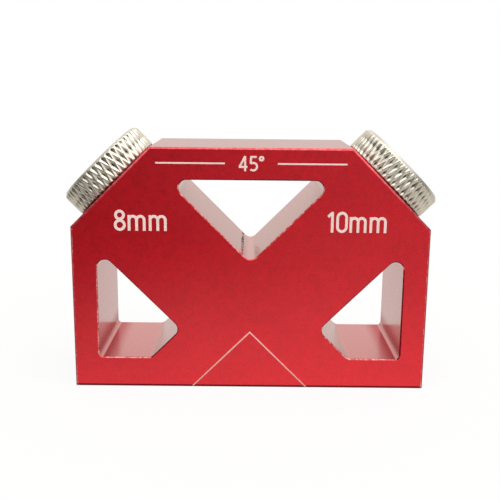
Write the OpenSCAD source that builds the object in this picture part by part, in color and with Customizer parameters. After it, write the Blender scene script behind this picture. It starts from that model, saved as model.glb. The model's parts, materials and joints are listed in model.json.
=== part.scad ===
// Pocket hole jig: a windowed 45 degree block with two knurled guide bushes.
// All sizes are in mm. X runs right, Y runs from front to back, Z runs up, and the block stands on Z = 0.

/* [Body] */
// Width of the block across its two side walls
body_width = 90; // [85:1:96]
// Height of the block
body_height = 62; // [58:1:70]
// Depth of the block from front to back
body_depth = 30; // [28:1:40]
// Leg of each 45 degree shoulder
shoulder_leg = 20; // [20:0.5:25]
// Leg of the small chamfer around the front and back outlines
edge_break = 0.4; // [0.2:0.05:0.8]

/* [Windows] */
// Height of the bar above the top window
top_bar = 8; // [6:0.5:11]
// Height of the floor below the two lower windows
floor_bar = 8; // [6:0.5:10]
// Thickness of each side wall beside a lower window
side_wall = 6.4; // [5:0.2:9]
// Width of the two crossing arms that hold the guide bores
arm_width = 25; // [22:0.5:28]
// How far the middle of each arm lies below its guide axis, square to the arm
arm_drop = 1; // [0:0.25:1.5]
// Radius of the window corners
corner_radius = 2; // [1:0.25:2.5]
// Radius of the corner between the floor and the side wall of a lower window
floor_radius = 1; // [0.5:0.25:2.5]

/* [Guide bushes] */
// Diameter of the head over the ridges of its knurl
head_diameter = 26.2; // [22:0.1:26.2]
// Thickness of the head
head_thickness = 7; // [5:0.1:9]
// Leg of the smooth chamfer on the outer rim of the head
rim_chamfer = 0.9; // [0.5:0.05:1]
// Leg of the chamfer under the head
base_chamfer = 0.6; // [0.5:0.05:1]
// Diameter of the barrel
barrel_diameter = 16; // [14:0.5:18]
// Length of the barrel below the head
barrel_length = 30; // [24:1:34]
// Radial running clearance between the barrel and its socket
barrel_clearance = 0.08; // [0.04:0.01:0.1]
// Length of the relief neck just under the head
neck_length = 1.8; // [1:0.1:3]
// Depth of the relief neck below the barrel
neck_depth = 0.7; // [0.3:0.05:1]
// Leg of the chamfer on the tip of the barrel
tip_chamfer = 1; // [0.5:0.1:1.5]

/* [Knurl] */
// Number of diamonds around the head
knurl_teeth = 48; // [36:1:60]
// Rows of half diamonds along the head
knurl_rows = 2; // [2:1:4]
// Depth of the knurl from ridge to pit
knurl_depth = 0.45; // [0.2:0.05:0.48]

/* [Drills and bores] */
// Drill guided by the left bush
drill_left = 8; // [5:0.5:9]
// Drill guided by the right bush
drill_right = 10; // [6:0.5:10.5]
// Radial clearance between a drill and its bush
bore_clearance = 0.05; // [0.02:0.01:0.1]
// Leg of the chamfer at both ends of a bush bore
bore_mouth = 0.8; // [0.3:0.1:1.2]
// Radial clearance around a drill inside the block
chip_clearance = 0.25; // [0.15:0.05:0.6]
// Space below the tip of the barrel in its socket
socket_space = 2; // [1:0.25:4]
// Leg of the countersink at the mouth of each socket
socket_mouth = 0.6; // [0.3:0.1:1]

/* [Sight lines] */
// Height at which the two scribed lines meet on the front
line_peak = 15; // [12:0.25:18]
// Width of the scribed lines
line_width = 0.3; // [0.2:0.05:0.8]
// Depth of the scribed lines
line_depth = 0.2; // [0.1:0.05:0.3]

/* [Hidden] */
$fn = 96;
over = 1;
slope = 45;
half_width = body_width / 2;
// Each guide axis meets the middle of its shoulder
seat_x = half_width - shoulder_leg / 2;
seat_z = body_height - shoulder_leg / 2;
// The middle lines of the two arms cross at this height
cross_z = seat_z - seat_x - arm_drop * sqrt(2);
window_top = body_height - top_bar;
window_side = half_width - side_wall;
// Rise from the middle of an arm to its edge, taken straight up
arm_rise = arm_width / sqrt(2);
head_radius = head_diameter / 2;
barrel_radius = barrel_diameter / 2;
neck_radius = barrel_radius - neck_depth;
socket_radius = barrel_radius + barrel_clearance;
socket_depth = barrel_length + socket_space;
knurl_columns = 2 * knurl_teeth;
knurl_pitch = (head_thickness - base_chamfer - rim_chamfer) / knurl_rows;
body_red = "#b5242e";
bush_silver = "#c9c4b6";

// Outline of the block seen from the front, drawn inside its true outline by inset
function block_outline(inset) =
    let (w = half_width - inset, base = inset, top = body_height - inset)
    let (lean = inset * (sqrt(2) - 1))
    [[-w, base], [w, base], [w, body_height - shoulder_leg - lean],
     [half_width - shoulder_leg - lean, top], [-(half_width - shoulder_leg - lean), top],
     [-w, body_height - shoulder_leg - lean]];

function unit(v) = v / norm(v);

// Outline with one radius per corner: the points where the arcs meet the edges, and a circle for each arc
module rounded_outline(points, radii) {
    count = len(points);
    corners = [for (i = [0 : count - 1])
        let (back = unit(points[(i + count - 1) % count] - points[i]))
        let (ahead = unit(points[(i + 1) % count] - points[i]))
        let (half_angle = acos(back * ahead) / 2)
        let (reach = radii[i] / tan(half_angle))
        [points[i] + reach * back, points[i] + reach * ahead,
         points[i] + radii[i] / sin(half_angle) * unit(back + ahead)]];
    polygon([for (c = corners) for (k = [0, 1]) c[k]]);
    for (i = [0 : count - 1]) translate(corners[i][2]) circle(r = radii[i]);
}

module front_extrude(depth) {
    rotate([90, 0, 0]) linear_extrude(height = depth, center = true) children();
}

module block() {
    hull() {
        front_extrude(body_depth - 2 * edge_break) polygon(block_outline(0));
        front_extrude(body_depth) polygon(block_outline(edge_break));
    }
}

module top_window() {
    apex = cross_z + arm_rise;
    reach = window_top - apex;
    rounded_outline([[0, apex], [reach, window_top], [-reach, window_top]],
                    [corner_radius, corner_radius, corner_radius]);
}

module lower_window() {
    rounded_outline([[window_side, floor_bar], [window_side, window_side + cross_z - arm_rise],
                     [arm_rise, cross_z], [arm_rise + cross_z - floor_bar, floor_bar]],
                    [floor_radius, corner_radius, corner_radius, corner_radius]);
}

module windows() {
    front_extrude(body_depth + 2 * over) {
        top_window();
        lower_window();
        mirror([1, 0]) lower_window();
    }
}

// Puts its children on one guide axis, with the shoulder at Z = 0 and the outside above; side is -1 or 1
module on_axis(side) {
    translate([side * seat_x, 0, seat_z]) rotate([0, side * slope, 0]) children();
}

// Everything that is bored out of the block along one guide axis
module guide_passage(drill) {
    drill_radius = drill / 2 + chip_clearance;
    run = seat_z / cos(slope) + drill_radius + over;
    translate([0, 0, -socket_depth]) cylinder(r = socket_radius, h = socket_depth + over);
    translate([0, 0, -socket_mouth])
        cylinder(r1 = socket_radius, r2 = socket_radius + socket_mouth + over, h = socket_mouth + over);
    translate([0, 0, -run]) cylinder(r = drill_radius, h = run);
}

// The scribed lines run down at 45 degrees, as the drills do, from their peak to the bottom edge
module sight_lines() {
    rise = line_width / sqrt(2);
    foot = line_peak + over;
    translate([0, -body_depth / 2, 0]) front_extrude(2 * line_depth)
        polygon([[-foot, rise - over], [0, line_peak + rise], [foot, rise - over],
                 [foot, -rise - over], [0, line_peak - rise], [-foot, -rise - over]]);
}

// Head with a diamond knurl: crossing ridges join the high points of a half-pitch grid, and its low points are pits
module knurled_head() {
    last = knurl_rows + 2;
    function ring(level, column) =
        let (low = (level + column) % 2 == 0)
        let (sunk = level == 0 ? base_chamfer : level == last ? rim_chamfer : low ? knurl_depth : 0)
        let (height = level == 0 ? 0 : level == last ? head_thickness : base_chamfer + (level - 1) * knurl_pitch)
        let (turn = 360 * column / knurl_columns)
        [(head_radius - sunk) * cos(turn), (head_radius - sunk) * sin(turn), height];
    function at(level, column) = level * knurl_columns + column % knurl_columns;
    function cell(level, column) =
        let (a = at(level, column), b = at(level, column + 1))
        let (c = at(level + 1, column + 1), d = at(level + 1, column))
        (level + column) % 2 == 0 ? [[a, d, b], [b, d, c]] : [[a, c, b], [a, d, c]];
    polyhedron(
        points = [for (level = [0 : last]) for (column = [0 : knurl_columns - 1]) ring(level, column)],
        faces = concat(
            [[for (column = [0 : knurl_columns - 1]) at(0, column)]],
            [for (level = [0 : last - 1]) for (column = [0 : knurl_columns - 1])
                each cell(level, column)],
            [[for (column = [knurl_columns - 1 : -1 : 0]) at(last, column)]]));
}

// Barrel with its relief neck and tip chamfer
module barrel() {
    rotate_extrude()
        polygon([[0, over], [neck_radius, over], [neck_radius, -neck_length],
                 [barrel_radius, -neck_length - neck_depth], [barrel_radius, tip_chamfer - barrel_length],
                 [barrel_radius - tip_chamfer, -barrel_length], [0, -barrel_length]]);
}

module guide_bush(drill) {
    bore_radius = drill / 2 + bore_clearance;
    difference() {
        union() {
            knurled_head();
            barrel();
        }
        translate([0, 0, -barrel_length - over])
            cylinder(r = bore_radius, h = barrel_length + head_thickness + 2 * over);
        translate([0, 0, head_thickness - bore_mouth])
            cylinder(r1 = bore_radius, r2 = bore_radius + bore_mouth + over, h = bore_mouth + over);
        translate([0, 0, -barrel_length - over])
            cylinder(r1 = bore_radius + bore_mouth + over, r2 = bore_radius, h = bore_mouth + over);
    }
}

module jig_body() {
    color(body_red) difference() {
        block();
        windows();
        on_axis(-1) guide_passage(drill_left);
        on_axis(1) guide_passage(drill_right);
        sight_lines();
    }
}

module guide_bush_left() {
    color(bush_silver) on_axis(-1) guide_bush(drill_left);
}

module guide_bush_right() {
    color(bush_silver) on_axis(1) guide_bush(drill_right);
}

jig_body();
guide_bush_left();
guide_bush_right();
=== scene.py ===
"""Pocket hole jig: the finished look of the red guide block and its two knurled bushes."""
import json
import math

import bmesh
import bpy
from bpy.props import FloatProperty, FloatVectorProperty, IntProperty, PointerProperty
from mathutils import Matrix, Vector, noise


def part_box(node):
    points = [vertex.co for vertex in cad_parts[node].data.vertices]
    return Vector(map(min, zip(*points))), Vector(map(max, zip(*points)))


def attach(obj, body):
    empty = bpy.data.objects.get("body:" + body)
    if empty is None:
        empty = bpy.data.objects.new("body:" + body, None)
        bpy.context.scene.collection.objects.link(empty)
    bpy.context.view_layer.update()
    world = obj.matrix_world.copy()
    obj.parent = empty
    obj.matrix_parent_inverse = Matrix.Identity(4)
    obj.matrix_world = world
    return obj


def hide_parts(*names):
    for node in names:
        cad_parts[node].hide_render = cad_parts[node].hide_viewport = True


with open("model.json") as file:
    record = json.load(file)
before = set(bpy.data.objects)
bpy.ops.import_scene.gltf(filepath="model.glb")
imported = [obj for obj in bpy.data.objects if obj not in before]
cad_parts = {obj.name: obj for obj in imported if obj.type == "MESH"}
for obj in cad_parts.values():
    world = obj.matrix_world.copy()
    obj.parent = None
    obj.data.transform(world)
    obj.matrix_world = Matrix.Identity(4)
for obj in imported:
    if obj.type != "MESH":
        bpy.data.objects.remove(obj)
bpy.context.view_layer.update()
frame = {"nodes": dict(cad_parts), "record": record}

bl_info = {
    "name": "Pocket Hole Jig",
    "version": (1, 0, 0),
    "blender": (4, 5, 0),
    "location": "View3D > Sidebar > Jig",
    "description": "Finishes the guide block, its knurled bushes and its engraved marks",
    "category": "Object",
}

MM = 0.001
BLOCK_LOW, BLOCK_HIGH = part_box("jig_body")
FRONT_Y = BLOCK_LOW.y
SHOULDER_LEG = 20 * MM
# Distance from the middle plus height, which is the same all over a 45 degree shoulder
SHOULDER_REACH = BLOCK_HIGH.x + BLOCK_HIGH.z - SHOULDER_LEG
# Lengths closer than CLOSE count as the same, and corners closer than WELD are merged
CLOSE = 0.01 * MM
WELD = 0.001 * MM
# Material slots of the block; SHADE holds the edges with painted shade
FACE, EDGE, LINE, WALL, WINDOW, SHADE = range(6)
BUSHES = (
    ("left", "guide_bush_left", "left_bush", "drill_bore_left"),
    ("right", "guide_bush_right", "right_bush", "drill_bore_right"),
)


def mount(name):
    """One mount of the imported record."""
    return next(m for m in frame["record"]["mounts"] if m["name"] == name)


def guide_axis(name):
    """A point on a guide axis and its outward direction, from the drill bore's mount."""
    bore = mount(name)
    return Vector(bore["pos_m"]), Vector(bore["axis"]).normalized()


def colour_property(name, description, default):
    return FloatVectorProperty(
        name=name, description=description, default=default, size=3, subtype="COLOR", min=0, max=1
    )


def length_property(name, description, millimetres):
    return FloatProperty(
        name=name, description=description, default=millimetres * MM, unit="LENGTH", precision=5, min=0
    )


def share_property(name, description, default):
    return FloatProperty(name=name, description=description, default=default, min=0)


def power_property(name, description, watts):
    return FloatProperty(name=name, description=description, default=watts, unit="POWER", min=0)


class JigBlockLook(bpy.types.PropertyGroup):
    """Colours and edges of the block."""

    red: colour_property("Red", "Colour of the anodised faces", (0.96, 0.013, 0.029))
    deep_red: colour_property("Deep red", "Darker clouds in the anodised colour", (0.91, 0.011, 0.027))
    wall_red: colour_property("Wall red", "Colour of the milled outer sides", (0.54, 0.010, 0.016))
    window_red: colour_property("Window red", "Thinner colour of the window walls", (0.64, 0.085, 0.078))
    bare: colour_property("Bare metal", "Pale aluminium where an edge is nicked", (0.95, 0.58, 0.55))
    # Painted shade: dark red painted on the edges that turn from the light and along the bottom of the front
    # face
    painted_shade_red: colour_property("Shade red", "Dark red of the lower and side edges", (0.17, 0.003, 0.009))
    # Painted shade: a duller red painted on the outer edges at the sides
    painted_side_shade: colour_property("Side red", "Dull red of the outer edges at the sides", (0.41, 0.065, 0.07))
    # Painted shade: below this height the front face is painted dark red, as a line of shade along the bottom
    # edge
    painted_shade_height: length_property("Low edge", "Height of the dark line along the bottom edge", 0.7)
    # Painted shade: the lower window corners are painted this deep red
    corner_shade_red: colour_property("Corner red", "Deep red in the lower window corners", (0.50, 0.010, 0.022))
    corner_side: length_property("Corner side", "Distance of the lower window corners from the middle", 38.6)
    corner_level: length_property("Corner level", "Height of the lower window corners", 8)
    edge_red: colour_property("Edge red", "Colour of the broken edges", (0.80, 0.06, 0.08))
    streak_offset: length_property("Streak offset", "Distance of the tool mark from the middle", 2.1)
    streak_height: length_property("Streak height", "Height of the tool mark in the top window", 36)
    window_edge: length_property("Window edge", "Width of the broken edge around a window", 0.25)
    outline_edge: length_property("Outline edge", "Width of the soft edges of the outline", 0.1)


class JigBushLook(bpy.types.PropertyGroup):
    """Shape and colours of the bushes."""

    head_radius: length_property("Head radius", "Radius over the ridges of the knurl", 13.1)
    head_thickness: length_property("Head thickness", "Thickness of the knurled head", 7)
    rim_chamfer: length_property("Rim chamfer", "Leg of the smooth chamfer on the outer rim", 0.9)
    base_chamfer: length_property("Base chamfer", "Leg of the shaded chamfer under the head", 0.6)
    knurl_depth: length_property("Knurl depth", "Depth of the knurl from ridge to pit", 0.55)
    knurl_teeth: IntProperty(name="Knurl teeth", description="Diamonds around the head", default=48, min=12)
    knurl_length: length_property("Knurl length", "Length of a diamond along the head", 5.8)
    pits_left: length_property("Left pits", "Height of a row of pits on the left head", 3.2)
    pits_right: length_property("Right pits", "Height of a row of pits on the right head", 1.4)
    barrel_radius: length_property("Barrel radius", "Radius over the thread", 8)
    barrel_length: length_property("Barrel length", "Length below the head", 30)
    neck_length: length_property("Neck length", "Plain relief under the head", 1.8)
    neck_depth: length_property("Neck depth", "Depth of the relief under the head", 1.1)
    tip_chamfer: length_property("Tip chamfer", "Leg of the chamfer on the tip", 1)
    bore_mouth: length_property("Bore mouth", "Leg of the chamfer at the ends of the bore", 0.8)
    thread_pitch: length_property("Thread pitch", "Rise of the thread in one turn", 1.5)
    thread_depth: length_property("Thread depth", "Depth of the thread", 0.85)
    socket_clearance: length_property("Socket clearance", "Room between the barrel and its socket", 0.08)
    socket_thread: length_property("Socket thread", "Depth of the tapped thread in a socket", 0.6)
    steel: colour_property("Steel", "Plated steel", (0.79, 0.75, 0.64))
    # Dark residue with painted shade: the pits of the knurl and the roots of the thread are painted darker
    # the deeper they lie
    residue_and_shade: colour_property("Groove", "Dark residue in the knurl and the thread", (0.05, 0.045, 0.04))


class JigMarkLook(bpy.types.PropertyGroup):
    """Places, sizes and colour of the engraved marks."""

    size_height: length_property("Size mark height", "Height of the drill size numbers", 5.2)
    left_offset: length_property("Left mark offset", "Distance of the left mark from the middle", 27.3)
    right_offset: length_property("Right mark offset", "Distance of the right mark from the middle", 26.5)
    right_width: share_property("Right mark width", "Width of the right mark as a share of its signs", 0.95)
    size_level: length_property("Size mark level", "Height of the foot of the size marks", 41.2)
    angle_height: length_property("Angle mark height", "Height of the angle number", 3.7)
    angle_level: length_property("Angle mark level", "Height of the foot of the angle number", 56.3)
    line_length: length_property("Line length", "Length of the line on each side of the angle", 17)
    line_width: length_property("Line width", "Width of the lines beside the angle", 0.4)
    line_gap: length_property("Line gap", "Room left for the angle between the lines", 13)
    scribe_peak: length_property("Scribe peak", "Height at which the two scribed lines meet", 15)
    scribe: colour_property("Scribe", "Colour of the scribed lines", (1.0, 0.58, 0.53))
    scribe_spread: share_property("Scribe spread", "Width of the scribed lines as a share of their cut", 1.2)
    scribe_depth: length_property("Scribe depth", "Depth of the floor of the scribed lines", 0.06)
    stroke: share_property("Stroke", "Width of a stroke as a share of the height", 0.135)
    sign_gap: share_property("Sign gap", "Room between signs as a share of the height", 0.11)
    film: length_property("Film", "Height of a mark above its face", 0.02)
    pale: colour_property("Pale", "Colour of the engraved marks", (0.98, 0.76, 0.71))


class JigStageLook(bpy.types.PropertyGroup):
    """Camera, floor and light."""

    camera_place: FloatVectorProperty(
        name="Camera place", description="Where the camera stands", size=3, subtype="TRANSLATION",
        unit="LENGTH", default=(-0.467 * MM, -205.53 * MM, 77.85 * MM),
    )
    camera_turn: FloatVectorProperty(
        name="Camera turn", description="Yaw, downward pitch and roll of the camera", size=3, subtype="EULER",
        unit="ROTATION", default=(math.radians(0.103), math.radians(12.228), math.radians(0.566)),
    )
    sensor: FloatProperty(name="Sensor", description="Width of the sensor in mm", default=36, min=1)
    lens: FloatProperty(name="Lens", description="Focal length in mm", default=56.095, min=1)
    lamp_power: power_property("Lamp", "Power of the overhead lamp", 0.8)
    front_power: power_property("Front lamp", "Power of the lamp high in front", 2.8)
    floor: colour_property("Floor", "Colour of the paper floor", (0.9, 0.89, 0.875))
    back_light: colour_property("Back light", "Light high behind the jig", (1.0, 0.95, 0.90))
    back_horizon: colour_property("Back horizon", "Light low behind the jig", (0.71, 0.66, 0.61))
    zenith: colour_property("Zenith", "Light straight above the jig", (0.42, 0.40, 0.38))
    high_left: colour_property("High left", "Light high in front on the left", (0.52, 0.51, 0.50))
    high_right: colour_property("High right", "Light high in front on the right", (1.0, 0.98, 0.96))
    dark_side: colour_property("Dark side", "Dim light low on both sides of the jig", (0.12, 0.12, 0.12))
    front_left: colour_property("Front left", "Light in front on the left", (0.06, 0.06, 0.06))
    front_right: colour_property("Front right", "Light in front on the right", (0.50, 0.49, 0.48))


class Wire:
    """A shader value: arithmetic on it adds Math nodes."""

    def __init__(self, finish, socket):
        self.finish = finish
        self.socket = socket

    def __add__(self, other):
        return self.finish.math("ADD", self, other)

    __radd__ = __add__

    def __sub__(self, other):
        return self.finish.math("SUBTRACT", self, other)

    def __rsub__(self, other):
        return self.finish.math("SUBTRACT", other, self)

    def __mul__(self, other):
        return self.finish.math("MULTIPLY", self, other)

    __rmul__ = __mul__

    def __abs__(self):
        return self.finish.math("ABSOLUTE", self)

    def between(self, low, high):
        """0 below low, 1 above high, and smooth between."""
        inputs = {"Value": self, "From Min": low, "From Max": high}
        return self.finish.node("ShaderNodeMapRange", {"interpolation_type": "SMOOTHSTEP"}, inputs)


class Finish:
    """One node tree, built by short calls."""

    def __init__(self, tree):
        self.tree = tree
        tree.nodes.clear()

    def node(self, kind, settings=None, inputs=None, output=0):
        """A node with its settings, then its inputs as numbers or wires; gives one of its outputs."""
        made = self.tree.nodes.new(kind)
        for key, value in (settings or {}).items():
            setattr(made, key, value)
        for key, value in (inputs or {}).items():
            if isinstance(value, Wire):
                self.tree.links.new(value.socket, made.inputs[key])
            else:
                made.inputs[key].default_value = value
        return Wire(self, made.outputs[output]) if made.outputs else None

    def math(self, operation, *values):
        """A Math node on numbers or wires."""
        return self.node("ShaderNodeMath", {"operation": operation}, dict(enumerate(values)))

    def mix(self, factor, first, second):
        """Two colours mixed by a factor."""
        first, second = (item if isinstance(item, Wire) else (*item, 1) for item in (first, second))
        return self.node("ShaderNodeMix", {"data_type": "RGBA"}, {0: factor, 6: first, 7: second}, output=2)

    def part(self, axis, kind="Object"):
        """One part of a place or direction: X across, Y from front to back or Z up."""
        spot = self.node("ShaderNodeTexCoord", output=kind)
        return self.node("ShaderNodeSeparateXYZ", {}, {"Vector": spot}, output=axis)

    def noise(self, size, stretch=(1, 1, 1), detail=2.0, roughness=0.5):
        """Noise from 0 to 1 with features of about the given size, stretched along the axes."""
        spot = self.node("ShaderNodeTexCoord", output="Object")
        place = self.node("ShaderNodeMapping", {}, {"Vector": spot, "Scale": stretch})
        inputs = {"Vector": place, "Scale": 1 / size, "Detail": detail, "Roughness": roughness}
        return self.node("ShaderNodeTexNoise", {}, inputs)

    def bump(self, height, depth, strength):
        """A normal for a relief of the given depth."""
        return self.node("ShaderNodeBump", {}, {"Height": height, "Distance": depth, "Strength": strength})

    def surface(self, **inputs):
        """Ends the tree in one principled shader; underscores in the names stand for spaces."""
        sockets = {key.replace("_", " "): value for key, value in inputs.items()}
        shader = self.node("ShaderNodeBsdfPrincipled", {}, sockets)
        self.node("ShaderNodeOutputMaterial", {}, {"Surface": shader})


def new_finish(name):
    """A new material, and the finish that builds its nodes."""
    material = bpy.data.materials.new(name)
    material.use_nodes = True
    return material, Finish(material.node_tree)


def anodised_red(look):
    """Satin red anodised aluminium: clouds, mottling, blasted grain and a painted shade line along the
    bottom.
    """
    material, finish = new_finish("anodised_red")
    clouds = finish.noise(9 * MM, detail=3).between(0.3, 0.7)
    mottle = finish.noise(1.2 * MM, detail=2)
    grain = finish.noise(0.3 * MM, detail=3, roughness=0.6)
    pits = (0.62 - grain).between(0, 0.4) * 0.6 + (0.5 - mottle) * 0.5
    # Painted shade along the bottom of the front face: dark red and less coat below the low line
    low = 1 - finish.part("Z").between(look.painted_shade_height - 0.1 * MM, look.painted_shade_height + 0.1 * MM)
    colour = finish.mix(clouds, look.deep_red, look.red)
    colour = finish.mix(pits, colour, 0.5 * look.deep_red)
    colour = finish.mix(low, colour, look.painted_shade_red)
    finish.surface(
        Base_Color=colour, Metallic=1.0, Roughness=0.5 + 0.16 * (grain - 0.5) + 0.1 * (mottle - 0.5),
        Normal=finish.bump(grain + 0.6 * mottle, depth=0.02 * MM, strength=0.6),
        Coat_Weight=0.75 * (1 - 0.8 * low), Coat_Roughness=0.16, Coat_IOR=1.55,
    )
    return material


def milled_red(name, red, look, coat):
    """The red of the milled walls: smoother, with fine lines along the cut, one dark tool mark and painted
    shade in the lower window corners.
    """
    material, finish = new_finish(name)
    milling = finish.noise(0.6 * MM, stretch=(1, 0.03, 1), detail=2)
    grain = finish.noise(0.4 * MM, detail=3, roughness=0.6)
    scratch = tool_mark(finish, look)
    corner = painted_corner_shade(finish, look)
    colour = finish.mix(grain.between(0.3, 0.7), 0.8 * red, red)
    # Painted shade in the lower window corners: deep red, with less coat
    colour = finish.mix(corner, colour, look.corner_shade_red)
    colour = finish.mix(scratch, colour, 0.05 * look.deep_red)
    finish.surface(
        Base_Color=colour, Metallic=1 - scratch,
        Roughness=0.27 + 0.1 * (grain - 0.5) + 0.04 * (milling - 0.5) + 0.6 * scratch,
        Normal=finish.bump(0.5 * grain + 0.06 * milling, depth=0.012 * MM, strength=0.6),
        Coat_Weight=coat * (1 - scratch) * (1 - 0.85 * corner), Coat_Roughness=0.16, Coat_IOR=1.6,
    )
    return material


def tool_mark(finish, look):
    """A dark, uneven tool mark that crosses the left wall of the top window near its point."""
    drift = (finish.noise(1.5 * MM, detail=4, roughness=0.65) - 0.5) * (1.0 * MM)
    line = 1 - abs(finish.part("X") + look.streak_offset + drift).between(0.15 * MM, 0.4 * MM)
    near = 1 - abs(finish.part("Z") - look.streak_height).between(2 * MM, 3 * MM)
    broken = finish.noise(1.6 * MM, detail=3, roughness=0.7).between(0.44, 0.56)
    return line * near * (0.15 + 0.85 * broken)


def painted_corner_shade(finish, look):
    """Painted shade: the red is deeper on both sides of the fillet between the floor and the side wall of a
    lower window.
    """
    sideways = abs(abs(finish.part("X")) - look.corner_side)
    upwards = abs(finish.part("Z") - look.corner_level)
    reach = finish.math("MAXIMUM", sideways, upwards)
    past_fillet = reach.between(0.8 * MM, 1.1 * MM)
    return past_fillet * (1 - reach.between(1.5 * MM, 5.5 * MM))


def worn_edge(look):
    """The broken edges: thin red with pale nicks of bare aluminium, fewer along the top and the shoulders."""
    material, finish = new_finish("worn_edge")
    height = finish.part("Z")
    past_shoulder = abs(finish.part("X")) + height - SHOULDER_REACH
    upper = finish.math("MAXIMUM", height - BLOCK_HIGH.z, past_shoulder).between(-1 * MM, -0.6 * MM)
    nicks = finish.noise(0.8 * MM, detail=4, roughness=0.6).between(0.38, 0.74) * (1 - 0.75 * upper)
    grain = finish.noise(0.2 * MM, detail=2)
    colour = finish.mix(nicks, look.edge_red, look.bare)
    finish.surface(
        Base_Color=colour, Metallic=1 - 0.8 * nicks, Roughness=0.42 + 0.15 * grain,
        Normal=finish.bump(grain + nicks, depth=0.015 * MM, strength=0.6),
        Coat_Weight=0.5, Coat_Roughness=0.2, Coat_IOR=1.4,
    )
    return material


def shaded_edge(look):
    """The edges that turn away from the light, with their shade painted in: dark red with a fine grain, and a
    paler painted shade at the sides.
    """
    material, finish = new_finish("shaded_edge")
    grain = finish.noise(0.3 * MM, detail=3)
    # A paler painted shade on the outer edges at the sides
    side = abs(finish.part("X")).between(BLOCK_HIGH.x - 1 * MM, BLOCK_HIGH.x - 0.5 * MM)
    colour = finish.mix(grain, 0.7 * look.painted_shade_red, look.painted_shade_red)
    colour = finish.mix(side, colour, look.painted_side_shade)
    finish.surface(
        Base_Color=colour, Roughness=0.5 + 0.2 * grain, Specular_IOR_Level=0.05,
        Normal=finish.bump(grain, depth=0.01 * MM, strength=0.5),
    )
    return material


def pale_mark(name, pale):
    """Engraved marks: pale, slightly uneven and matt."""
    material, finish = new_finish(name)
    patches = finish.noise(0.35 * MM, detail=3, roughness=0.6)
    colour = finish.mix(patches.between(0.35, 0.65), 0.82 * pale, pale)
    finish.surface(
        Base_Color=colour, Roughness=0.5 + 0.2 * patches,
        Normal=finish.bump(patches, depth=0.01 * MM, strength=0.5),
    )
    return material


def plated_steel(look):
    """Plated steel: bright on the tips and faces, with dark residue and painted shade in the knurl and the
    thread.
    """
    material, finish = new_finish("plated_steel")
    depth = finish.node("ShaderNodeAttribute", {"attribute_name": "groove_depth"}, output="Fac")
    smears = finish.noise(2.2 * MM, detail=4, roughness=0.6)
    grain = finish.noise(0.16 * MM, detail=2)
    # Residue and painted shade: the deeper a point of the knurl or the thread, the darker
    dark = depth.between(0.40, 0.82) * (0.55 + 0.75 * smears)
    colour = finish.mix(dark, look.steel, look.residue_and_shade)
    roughness = 0.22 + 0.14 * smears + 0.10 * grain + 0.2 * dark
    finish.surface(
        Base_Color=colour, Metallic=1.0, Roughness=roughness,
        Normal=finish.bump(grain, depth=0.006 * MM, strength=0.5),
    )
    return material


def new_piece(bm, name, body, materials):
    """Makes a mesh object at the origin from a bmesh, with its materials, and rides it on a body."""
    mesh = bpy.data.meshes.new(name)
    bm.to_mesh(mesh)
    bm.free()
    for material in materials:
        mesh.materials.append(material)
    piece = bpy.data.objects.new(name, mesh)
    bpy.context.scene.collection.objects.link(piece)
    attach(piece, body)
    return piece


def soften(piece, angle):
    """Smooth shading that keeps edges over an angle sharp and wide flats flat."""
    piece.data.shade_smooth()
    piece.data.set_sharp_from_angle(angle=math.radians(angle))
    weighted = piece.modifiers.new("flat_normals", "WEIGHTED_NORMAL")
    weighted.keep_sharp = True
    weighted.weight = 100


def bush_place(node, bore, look):
    """The place of a bush: Z along its guide axis, with the underside of the head at zero."""
    point, direction = guide_axis(bore)
    reach = max((v.co - point).dot(direction) for v in frame["nodes"][node].data.vertices)
    turn = Vector((0, 0, 1)).rotation_difference(direction).to_matrix().to_4x4()
    return Matrix.Translation(point + (reach - look.head_thickness) * direction) @ turn


def wound_thread(look, crest, root, low, high):
    """A thread about Z from low to high, wound for one turn, repeated, and trimmed level at both ends."""
    pitch = look.thread_pitch
    steps = 72
    bm = bmesh.new()
    depth = bm.verts.layers.float.new("groove_depth")
    # Radius and share of the pitch at each corner of one turn
    shape = ((root, 0), (root, 0.2), (crest, 0.5), (crest, 0.7), (root, 1))
    verts = [bm.verts.new((radius, 0, low + (share - 2) * pitch)) for radius, share in shape]
    edges = [bm.edges.new(pair) for pair in zip(verts, verts[1:])]
    bmesh.ops.spin(
        bm, geom=verts + edges, cent=(0, 0, 0), axis=(0, 0, 1), angle=2 * math.pi,
        dvec=(0, 0, pitch / steps), steps=steps, use_merge=False,
    )
    one_turn = [*bm.verts, *bm.edges, *bm.faces]
    for turn in range(1, math.ceil((high - low) / pitch) + 3):
        copied = bmesh.ops.duplicate(bm, geom=one_turn)["geom"]
        moved = [item for item in copied if isinstance(item, bmesh.types.BMVert)]
        bmesh.ops.translate(bm, vec=(0, 0, turn * pitch), verts=moved)
    bmesh.ops.remove_doubles(bm, verts=bm.verts, dist=5 * WELD)
    for v in bm.verts:
        v[depth] = abs(crest - v.co.xy.length) / look.thread_depth
    for height, above in ((high, True), (low, False)):
        bmesh.ops.bisect_plane(
            bm, geom=[*bm.verts, *bm.edges, *bm.faces], dist=0.1 * WELD, plane_co=(0, 0, height),
            plane_no=(0, 0, 1), clear_outer=above, clear_inner=not above,
        )
    return bm


def add_thread(bm, look, sizes, place):
    """Puts a thread into the gap of a mesh and joins its ends to the open rings there."""
    wound = wound_thread(look, *sizes)
    bmesh.ops.transform(wound, matrix=place, verts=wound.verts)
    mesh = bpy.data.meshes.new("thread")
    wound.to_mesh(mesh)
    wound.free()
    bm.from_mesh(mesh)
    bpy.data.meshes.remove(mesh)
    middle = place @ Vector((0, 0, (sizes[2] + sizes[3]) / 2))
    axis = place.col[2].xyz
    open_edges = [e for e in bm.edges if e.is_boundary]
    upper = [e for e in open_edges if (e.verts[0].co - middle).dot(axis) > 0]
    lower = [e for e in open_edges if (e.verts[0].co - middle).dot(axis) < 0]
    bmesh.ops.bridge_loops(bm, edges=upper)
    bmesh.ops.bridge_loops(bm, edges=lower)


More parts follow.
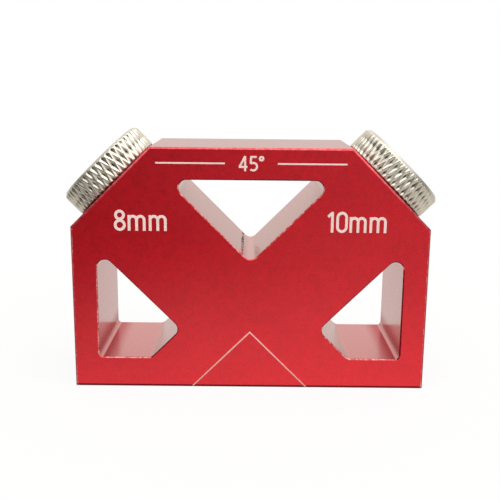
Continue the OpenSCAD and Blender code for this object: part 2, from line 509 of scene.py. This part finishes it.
class JIG_OT_block(bpy.types.Operator):
    """Make the finished guide block"""

    bl_idname = "jig.block"
    bl_label = "Guide Block"

    # How near to a scribed line a point counts as on it, and how far behind the front face
    line_near = 0.35 * MM
    line_deep = 0.3 * MM
    # Edges that turn by less than blunt are left alone, and those that turn by more than sharp are sharp
    blunt = math.radians(30)
    sharp = math.radians(60)
    # Shorter edges of the outline are left alone
    long_edge = 5 * MM

    def execute(self, context):
        look = context.scene.jig_block
        bm = bmesh.new()
        bm.from_mesh(frame["nodes"]["jig_body"].data)
        bmesh.ops.remove_doubles(bm, verts=bm.verts, dist=WELD)
        bmesh.ops.dissolve_limit(bm, angle_limit=math.radians(0.5), verts=bm.verts, edges=bm.edges)
        for _, node, _, bore in BUSHES:
            self.tap_socket(bm, context.scene.jig_bush, bush_place(node, bore, context.scene.jig_bush))
        self.open_lines(bm, context.scene.jig_marks)
        bmesh.ops.recalc_face_normals(bm, faces=bm.faces)
        for face in bm.faces:
            wall = WALL if self.is_outside(face) else WINDOW
            plain = FACE if abs(face.normal.y) > 0.5 else wall
            face.material_index = LINE if self.in_line(face) else plain
        self.break_edges(bm, self.window_edges(bm), look.window_edge, segments=1)
        self.break_edges(bm, self.outline_edges(bm), look.outline_edge, segments=2)
        for face in bm.faces:
            if self.is_chamfer(face):
                face.material_index = EDGE
            # Edges that turn down, sideways or, low down, left get the painted shade
            if face.material_index == EDGE and self.is_shaded(face):
                face.material_index = SHADE
        finishes = (
            anodised_red(look),
            worn_edge(look),
            pale_mark("scribed_line", context.scene.jig_marks.scribe),
            milled_red("milled_red", look.wall_red, look, coat=0.85),
            milled_red("window_red", look.window_red, look, coat=1),
            shaded_edge(look),
        )
        piece = new_piece(bm, "guide_block", "block", finishes)
        soften(piece, angle=40)
        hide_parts("jig_body")
        return {"FINISHED"}

    @staticmethod
    def tap_socket(bm, look, place):
        """Swaps the plain wall of a socket for a tapped thread."""
        inward = place.inverted()
        radius = look.barrel_radius + look.socket_clearance
        wall = []
        for face in bm.faces:
            spots = [inward @ v.co for v in face.verts]
            if all(abs(spot.xy.length - radius) < CLOSE and spot.z < 0 for spot in spots):
                wall.append(face)
        heights = [(inward @ v.co).z for face in wall for v in face.verts]
        bmesh.ops.delete(bm, geom=wall, context="FACES")
        add_thread(bm, look, (radius, radius + look.socket_thread, min(heights), max(heights)), place)

    def near_line(self, point):
        """Whether a point lies on the scribed sight lines of the front face."""
        off_line = abs(point.x) + point.z - bpy.context.scene.jig_marks.scribe_peak
        return point.y < FRONT_Y + self.line_deep and abs(off_line) < self.line_near

    def open_lines(self, bm, look):
        """Spreads the scribed lines and lifts their floor, at the feet along the bottom chamfer."""
        for v in [v for v in bm.verts if self.near_line(v.co)]:
            spread = (look.scribe_spread - 1) * (abs(v.co.x) + v.co.z - look.scribe_peak)
            lift = max(v.co.y - FRONT_Y - look.scribe_depth, 0)
            v.co.y -= lift
            at_foot = v.co.z < look.scribe_peak / 2
            if at_foot:
                v.co.z += lift
                v.co.x += math.copysign(1, v.co.x) * (spread - lift)
            else:
                v.co.z += spread

    def in_line(self, face):
        """Whether a face is the floor or a wall of the scribed lines."""
        inside = face.calc_center_median().y > FRONT_Y + CLOSE
        return inside and all(self.near_line(v.co) for v in face.verts)

    @staticmethod
    def is_outside(face, within=0.2 * MM):
        """Whether a face lies at the block's outer sides, shoulders among them."""
        middle = face.calc_center_median()
        side = abs(middle.x)
        gaps = (
            BLOCK_HIGH.x - side,
            BLOCK_HIGH.z - middle.z,
            middle.z - BLOCK_LOW.z,
            SHOULDER_REACH - side - middle.z,
        )
        return min(gaps) < within

    def window_edges(self, bm):
        """Sharp edges of the front and back faces, apart from those of the sight lines."""
        return [
            e for e in bm.edges
            if len(e.link_faces) == 2 and e.calc_face_angle() > self.sharp
            and all(abs(abs(v.co.y) - abs(FRONT_Y)) < CLOSE for v in e.verts)
            and not any(self.near_line(v.co) for v in e.verts)
        ]

    def outline_edges(self, bm):
        """The long blunt edges of the outline, of its chamfer and of the lower windows' rims."""
        return [
            e for e in bm.edges
            if len(e.link_faces) == 2 and self.blunt < e.calc_face_angle() < self.sharp
            and e.calc_length() > self.long_edge and not any(self.near_line(v.co) for v in e.verts)
            and any(self.is_outer(v.co) for v in e.verts)
        ]

    @staticmethod
    def is_outer(point):
        """Whether a point lies beside the flat top, or at the very top or bottom."""
        margin = 1 * MM
        beside = abs(point.x) > BLOCK_HIGH.x - SHOULDER_LEG - margin
        return beside or point.z > BLOCK_HIGH.z - margin or point.z < BLOCK_LOW.z + margin

    @staticmethod
    def break_edges(bm, edges, width, segments):
        """Bevels edges and gives the new faces the worn finish."""
        if not edges:
            raise RuntimeError("no edges to break on the block")
        made = bmesh.ops.bevel(
            bm, geom=edges, offset=width, offset_type="OFFSET", affect="EDGES", segments=segments,
            profile=0.5, material=-1, clamp_overlap=False,
        )
        for face in made["faces"]:
            face.material_index = EDGE

    @staticmethod
    def is_chamfer(face):
        """The flat chamfers that run round the front and back outlines."""
        at_face = abs(face.calc_center_median().y) > abs(FRONT_Y) - 1 * MM
        return at_face and abs(abs(face.normal.y) - math.sqrt(0.5)) < 0.05

    def is_shaded(self, face):
        """Outer edges that turn down or sideways, and window edges that turn down or, low down, left: the
        edges that get painted shade.
        """
        turn = face.normal
        clear = 0.3
        if self.is_outside(face, within=0.6 * MM):
            sideways = abs(turn.x) > clear > abs(turn.z)
        else:
            sideways = turn.x < -clear and face.calc_center_median().z < BLOCK_HIGH.z / 2
        return turn.z < -clear or sideways


class JIG_OT_bushes(bpy.types.Operator):
    """Make the two knurled and threaded guide bushes"""

    bl_idname = "jig.bushes"
    bl_label = "Guide Bushes"

    columns_per_tooth = 12
    rows_along_head = 35
    # Seed and size of the wobble of the knurl, and what it does to the place and the depth of a pit
    wobble_seed = 1
    wobble_size = 1.6 * MM
    wobble_place = 0.07
    wobble_depth = 0.2
    # Share of the ridges that is sharp, the rest being round
    sharp = 0.35
    # Painted shadow on the chamfer under the head, as a value on the same scale as groove_depth
    base_shadow = 0.7

    def execute(self, context):
        look = context.scene.jig_bush
        steel = plated_steel(look)
        noise.seed_set(self.wobble_seed)
        for side, node, body, bore in BUSHES:
            bm = bmesh.new()
            depth = bm.verts.layers.float.new("groove_depth")
            self.turned_body(bm, look, mount(bore)["dims"]["r_mm"] * MM)
            self.knurl(bm, look, depth, getattr(look, "pits_" + side))
            root = look.barrel_radius - look.thread_depth
            tip = look.tip_chamfer - look.barrel_length
            add_thread(bm, look, (look.barrel_radius, root, tip, -look.neck_length), Matrix())
            bmesh.ops.recalc_face_normals(bm, faces=bm.faces)
            bmesh.ops.transform(bm, matrix=bush_place(node, bore, look), verts=bm.verts)
            piece = new_piece(bm, "bush_" + side, body, (steel,))
            piece.data.shade_smooth()
            piece.data.set_sharp_from_angle(angle=math.radians(38))
            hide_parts(node)
        return {"FINISHED"}

    def turned_body(self, bm, look, bore_radius):
        """Everything but the thread, turned from one profile that is open where the thread goes."""
        neck = look.barrel_radius - look.neck_depth
        rows = self.rows_along_head
        profile = [(neck, -look.neck_length), (neck, 0)]
        profile += [(look.head_radius, look.head_thickness * row / rows) for row in range(rows + 1)]
        profile += [
            (bore_radius + look.bore_mouth, look.head_thickness),
            (bore_radius, look.head_thickness - look.bore_mouth),
            (bore_radius, look.bore_mouth - look.barrel_length),
            (bore_radius + look.bore_mouth, -look.barrel_length),
            (look.barrel_radius - look.tip_chamfer, -look.barrel_length),
        ]
        verts = [bm.verts.new((radius, 0, height)) for radius, height in profile]
        edges = [bm.edges.new(pair) for pair in zip(verts, verts[1:])]
        bmesh.ops.spin(
            bm, geom=verts + edges, cent=(0, 0, 0), axis=(0, 0, 1), angle=2 * math.pi,
            steps=look.knurl_teeth * self.columns_per_tooth, use_merge=True,
        )

    def knurl(self, bm, look, depth, level):
        """Rolls crossing ridges with a row of pits at a level into the head, then chamfers both its rims."""
        for v in bm.verts:
            if abs(v.co.xy.length - look.head_radius) > WELD:
                continue
            wobble = noise.noise_vector(v.co / self.wobble_size)
            around = look.knurl_teeth * math.atan2(v.co.y, v.co.x) / (2 * math.pi)
            around += self.wobble_place * wobble.x
            along = (v.co.z - level) / look.knurl_length
            ridge = max(abs(2 * ((around + slope * along) % 1) - 1) for slope in (-1, 1))
            height = self.sharp * ridge + (1 - self.sharp) * math.sin(ridge * math.pi / 2)
            pit = (1 - height) * (1 + self.wobble_depth * wobble.y)
            base = look.base_chamfer - v.co.z
            rim = look.rim_chamfer - (look.head_thickness - v.co.z)
            sunk = max(look.knurl_depth * pit, base, rim)
            # The chamfer under the head gets the painted shadow; elsewhere a pit's depth feeds the residue
            # and painted shade
            v[depth] = self.base_shadow if base > 0 else pit * (sunk > rim)
            v.co.xy *= (look.head_radius - sunk) / look.head_radius


class JIG_OT_marks(bpy.types.Operator):
    """Make the engraved numbers on the front face"""

    bl_idname = "jig.marks"
    bl_label = "Engraved Marks"

    # Crossing strokes lie this share of the height above each other, so that none hides in another
    hair = 0.0005

    # For each sign its width, its bars and its arcs, on a height of one
    signs = {
        "0": (
            0.56,
            (((0.055, 0.28), (0.055, 0.72)), ((0.505, 0.28), (0.505, 0.72))),
            (((0.28, 0.28), 0.225, 180, 180), ((0.28, 0.72), 0.225, 0, 180)),
        ),
        "1": (0.36, (((0.26, 0), (0.26, 1)), ((0.04, 0.76), (0.27, 0.96))), ()),
        "4": (
            0.58,
            (((0.43, 0), (0.43, 1)), ((0.02, 0.28), (0.58, 0.28)), ((0.05, 0.26), (0.42, 0.97))),
            (),
        ),
        "5": (
            0.54,
            (((0.12, 0.945), (0.50, 0.945)), ((0.14, 1), (0.10, 0.50))),
            (((0.275, 0.305), 0.25, 135, -270),),
        ),
        "8": (0.56, (), (((0.28, 0.755), 0.19, 0, 360), ((0.28, 0.275), 0.22, 0, 360))),
        "m": (
            0.90,
            (((0.055, 0), (0.055, 0.76)), ((0.4175, 0), (0.4175, 0.525)), ((0.78, 0), (0.78, 0.525))),
            (((0.2363, 0.5238), 0.1812, 0, 180), ((0.5987, 0.5238), 0.1812, 0, 180)),
        ),
        "°": (0.34, (), (((0.17, 0.83), 0.115, 0, 360),)),
    }

    def execute(self, context):
        look = context.scene.jig_marks
        pale = pale_mark("pale_mark", look.pale)
        line_middle = look.line_gap / 2 + look.line_length / 2
        line_level = look.angle_level + look.angle_height / 2
        left_size = self.number(look, "8mm", look.size_height)
        right_size = self.number(look, "10mm", look.size_height, look.right_width)
        angle = self.number(look, "45°", look.angle_height)
        marks = (
            ("mark_left", left_size, -look.left_offset, look.size_level),
            ("mark_right", right_size, look.right_offset, look.size_level),
            ("mark_angle", angle, 0, look.angle_level),
            ("line_left", self.line(look), -line_middle, line_level),
            ("line_right", self.line(look), line_middle, line_level),
        )
        for name, bm, middle, level in marks:
            bmesh.ops.reverse_faces(bm, faces=[face for face in bm.faces if face.normal.z < 0])
            place = Matrix.Translation((middle, FRONT_Y - look.film, level))
            upright = Matrix.Rotation(math.pi / 2, 4, "X")
            bmesh.ops.transform(bm, matrix=place @ upright, verts=bm.verts)
            new_piece(bm, name, "block", (pale,))
        return {"FINISHED"}

    @staticmethod
    def bar(bm, start, end, width):
        """A straight stroke of the cutter."""
        start, end = Vector(start), Vector(end)
        side = (end - start).normalized().cross(Vector((0, 0, 1))) * width / 2
        edge = bm.edges.new((bm.verts.new(start - side), bm.verts.new(start + side)))
        moved = bmesh.ops.extrude_edge_only(bm, edges=[edge])["geom"]
        verts = [item for item in moved if isinstance(item, bmesh.types.BMVert)]
        bmesh.ops.translate(bm, vec=end - start, verts=verts)

    @staticmethod
    def arc(bm, centre, radius, start, turn, width):
        """A round stroke of the cutter, from a start angle through a turn in degrees."""
        heading = Vector((math.cos(math.radians(start)), math.sin(math.radians(start)), 0))
        middle = Vector(centre)
        verts = [bm.verts.new(middle + (radius + side * width / 2) * heading) for side in (-1, 1)]
        bmesh.ops.spin(
            bm, geom=verts + [bm.edges.new(verts)], cent=middle, axis=(0, 0, 1), angle=math.radians(turn),
            steps=math.ceil(abs(turn) / 10), use_merge=abs(turn) == 360,
        )

    def line(self, look):
        """A flat engraved line, centred on the origin."""
        bm = bmesh.new()
        self.bar(bm, (-look.line_length / 2, 0, 0), (look.line_length / 2, 0, 0), look.line_width)
        bm.normal_update()
        return bm

    def number(self, look, words, height, width_share=1):
        """Flat numbers of a given height, centred over the origin and standing on its X axis."""
        bm = bmesh.new()
        place = 0
        for sign in words:
            width, bars, arcs = self.signs[sign]
            lift = 0
            for start, end in bars:
                lift += self.hair
                self.bar(bm, (place + start[0], start[1], lift), (place + end[0], end[1], lift), look.stroke)
            for centre, radius, start, turn in arcs:
                lift += self.hair
                self.arc(bm, (place + centre[0], centre[1], lift), radius, start, turn, look.stroke)
            place += width + look.sign_gap
        bmesh.ops.translate(bm, vec=((look.sign_gap - place) / 2, 0, 0), verts=bm.verts)
        bmesh.ops.scale(bm, vec=(width_share * height, height, height), verts=bm.verts)
        bm.normal_update()
        return bm


class JIG_OT_stage(bpy.types.Operator):
    """Set up the camera, the paper floor and the light"""

    bl_idname = "jig.stage"
    bl_label = "Stage"

    # For each lamp its width, its depth and its place, in metres
    overhead = (0.6, 0.5, (0.05, 0.08, 0.55))
    front = (1.0, 0.7, (0.05, -0.35, 0.6))
    lamps_aim = Vector((0, 0, 30 * MM))
    # Half the width of the floor, and how far its middle lies behind the jig, in metres
    floor_half = 0.5
    floor_back = 0.25
    # Brightness of the floor in reflections: far in front, the rise towards the jig, and behind the jig
    shine_far = 0.14
    shine_near = 0.70
    shine_behind = 0.76
    # How much brighter the front floor is on the right: far from the jig, and how much less near it
    right_far = 0.40
    right_less = 0.27
    # Share of the jig's shadow that shows on the floor
    shadow = 0.1

    def execute(self, context):
        look = context.scene.jig_stage
        context.scene.view_settings.view_transform = "Standard"
        self.camera(context, look)
        self.floor(context, look)
        self.lamp(context, "overhead", look.lamp_power, *self.overhead)
        self.lamp(context, "front", look.front_power, *self.front)
        self.room(context, look)
        return {"FINISHED"}

    @staticmethod
    def camera(context, look):
        """The camera, turned by its yaw, downward pitch and roll."""
        yaw, pitch, roll = look.camera_turn
        ahead = Vector((math.sin(yaw) * math.cos(pitch), math.cos(yaw) * math.cos(pitch), -math.sin(pitch)))
        level = Vector((math.cos(yaw), -math.sin(yaw), 0))
        upward = level.cross(ahead)
        right = math.cos(roll) * level + math.sin(roll) * upward
        up = math.cos(roll) * upward - math.sin(roll) * level
        data = bpy.data.cameras.new("camera")
        data.sensor_width = look.sensor
        data.lens = look.lens
        data.clip_start = 1 * MM
        camera = bpy.data.objects.new("camera", data)
        turn = Matrix((right, up, -ahead)).transposed().to_4x4()
        camera.matrix_world = Matrix.Translation(look.camera_place) @ turn
        context.scene.collection.objects.link(camera)
        context.scene.camera = camera

    def floor(self, context, look):
        """A square paper floor that reaches further behind the jig than in front."""
        bm = bmesh.new()
        bmesh.ops.create_grid(bm, x_segments=1, y_segments=1, size=self.floor_half)
        bmesh.ops.translate(bm, vec=(0, self.floor_back, 0), verts=bm.verts)
        mesh = bpy.data.meshes.new("paper_floor")
        bm.to_mesh(mesh)
        bm.free()
        mesh.materials.append(self.paper(look))
        floor = bpy.data.objects.new("paper_floor", mesh)
        context.scene.collection.objects.link(floor)

    def paper(self, look):
        """White paper: the camera sees it white with a faint shadow, and polished metal sees it shaded."""
        material, finish = new_finish("paper")
        fibre = finish.noise(3 * MM, detail=4)
        shade = finish.mix(fibre, 0.985 * look.floor, look.floor)
        paper = finish.node("ShaderNodeBsdfDiffuse", {}, {"Color": shade})
        white = finish.node("ShaderNodeEmission", {}, {"Strength": 1.0})
        seen = finish.node("ShaderNodeLightPath", output="Is Camera Ray")
        mirrored = finish.node("ShaderNodeLightPath", output="Is Glossy Ray")
        spot = finish.node("ShaderNodeTexCoord", output="Object")
        away = finish.node("ShaderNodeVectorMath", {"operation": "LENGTH"}, {0: spot}, output="Value")
        across = finish.part("X")
        back = finish.part("Y")
        # The places between which the floor's brightness changes are in metres
        near = 1 - away.between(0.02, 0.19)
        right = (self.right_far - self.right_less * near) * across.between(-0.06, 0.06)
        front = self.shine_far + self.shine_near * near + right
        level = front + (self.shine_behind - front) * back.between(-0.02, 0.02)
        mirror = finish.mix(level, (0, 0, 0), look.back_light)
        shine = finish.node("ShaderNodeEmission", {}, {"Color": mirror, "Strength": 1.0})
        bright = seen * ((1 - self.shadow) + self.shadow * away.between(0.06, 0.2))
        shown = finish.node("ShaderNodeMixShader", {}, {0: bright, 1: paper, 2: white})
        margin = 0.5 * MM
        under = 1 - abs(across).between(BLOCK_HIGH.x, BLOCK_HIGH.x + margin)
        under = under * (1 - abs(back).between(BLOCK_HIGH.y, BLOCK_HIGH.y + margin))
        shown = finish.node("ShaderNodeMixShader", {}, {0: mirrored * (1 - under), 1: shown, 2: shine})
        finish.node("ShaderNodeOutputMaterial", {}, {"Surface": shown})
        return material

    def lamp(self, context, name, power, width, depth, spot):
        """A soft rectangular lamp aimed at the middle of the jig."""
        data = bpy.data.lights.new(name, "AREA")
        data.shape = "RECTANGLE"
        data.size = width
        data.size_y = depth
        data.energy = power
        lamp = bpy.data.objects.new(name, data)
        aim = self.lamps_aim - Vector(spot)
        lamp.matrix_world = Matrix.Translation(spot) @ aim.to_track_quat("-Z", "Y").to_matrix().to_4x4()
        context.scene.collection.objects.link(lamp)

    @staticmethod
    def room(context, look):
        """A white room behind the jig that darkens towards the camera; the camera sees it white."""
        world = bpy.data.worlds.new("room")
        world.use_nodes = True
        finish = Finish(world.node_tree)
        # The parts of a direction run from -1 to 1, and each step between two lights is given by two of them
        across, behind, up = (finish.part(axis, "Generated") for axis in "XYZ")
        right = across.between(-0.4, 0.4)
        low_front = finish.mix(right, look.front_left, look.front_right)
        high_front = finish.mix(right, look.high_left, look.high_right)
        front = finish.mix(up.between(0.15, 0.6), low_front, high_front)
        back = finish.mix(up.between(0.02, 0.35), look.back_horizon, look.back_light)
        back = finish.mix(up.between(0.5, 0.85), back, look.zenith)
        around = finish.mix(behind.between(-0.35, 0.3), front, back)
        low_side = abs(across).between(0.8, 0.97) * (1 - up.between(0.3, 0.6))
        around = finish.mix(low_side, around, look.dark_side)
        seen = finish.node("ShaderNodeLightPath", output="Is Camera Ray")
        shown = finish.mix(seen, around, (1, 1, 1))
        light = finish.node("ShaderNodeBackground", {}, {"Color": shown, "Strength": 1.0})
        finish.node("ShaderNodeOutputWorld", {}, {"Surface": light})
        context.scene.world = world


class JIG_PT_panel(bpy.types.Panel):
    """Lists the steps that finish the jig"""

    bl_idname = "JIG_PT_panel"
    bl_label = "Pocket Hole Jig"
    bl_space_type = "VIEW_3D"
    bl_region_type = "UI"
    bl_category = "Jig"

    def draw(self, context):
        for group, step in STEPS:
            box = self.layout.box()
            settings = getattr(context.scene, group)
            for key in settings.__annotations__:
                box.prop(settings, key)
            box.operator(step.bl_idname)


GROUPS = {
    "jig_block": JigBlockLook,
    "jig_bush": JigBushLook,
    "jig_marks": JigMarkLook,
    "jig_stage": JigStageLook,
}
STEPS = (
    ("jig_block", JIG_OT_block),
    ("jig_bush", JIG_OT_bushes),
    ("jig_marks", JIG_OT_marks),
    ("jig_stage", JIG_OT_stage),
)
CLASSES = (*GROUPS.values(), *(step for _, step in STEPS), JIG_PT_panel)


def register():
    for item in CLASSES:
        bpy.utils.register_class(item)
    for name, group in GROUPS.items():
        setattr(bpy.types.Scene, name, PointerProperty(type=group))


def unregister():
    for name in GROUPS:
        delattr(bpy.types.Scene, name)
    for item in reversed(CLASSES):
        bpy.utils.unregister_class(item)


def main():
    register()
    bpy.ops.jig.stage()
    bpy.ops.jig.block()
    bpy.ops.jig.bushes()
    bpy.ops.jig.marks()
    bpy.context.view_layer.update()


if __name__ == "__main__":
    main()
